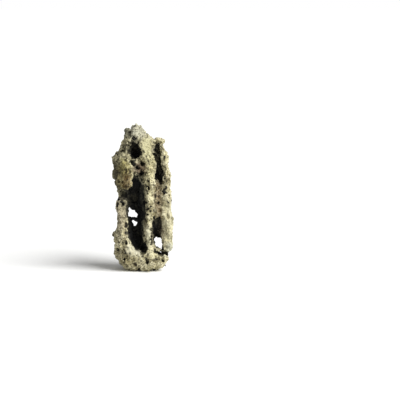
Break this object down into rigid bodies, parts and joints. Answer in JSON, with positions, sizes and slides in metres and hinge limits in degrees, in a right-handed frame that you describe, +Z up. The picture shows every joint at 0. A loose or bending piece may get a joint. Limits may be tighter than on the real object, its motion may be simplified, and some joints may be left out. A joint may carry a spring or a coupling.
{
  "type": "aquascaping rock",
  "caption": "Upright weathered stone with long ribs, a deep channel, caves and see-through windows, set in an aquarium or a terrarium as a centre stone.",
  "frame": {"origin": "on the flat resting face, under the middle of the stone's bounding box", "axes": "+Z up along the stone's height, -Y towards the front with the long channel, +X to the right seen from the front"},
  "size_m": [0.106, 0.08, 0.25],
  "materials": {
    "stone": "rough weathered limestone, tan and olive with pale grey tops, pitted all over, nearly black in the hollows"
  },
  "bodies": {
    "root": {"rock": "stone"}
  },
  "joints": []
}
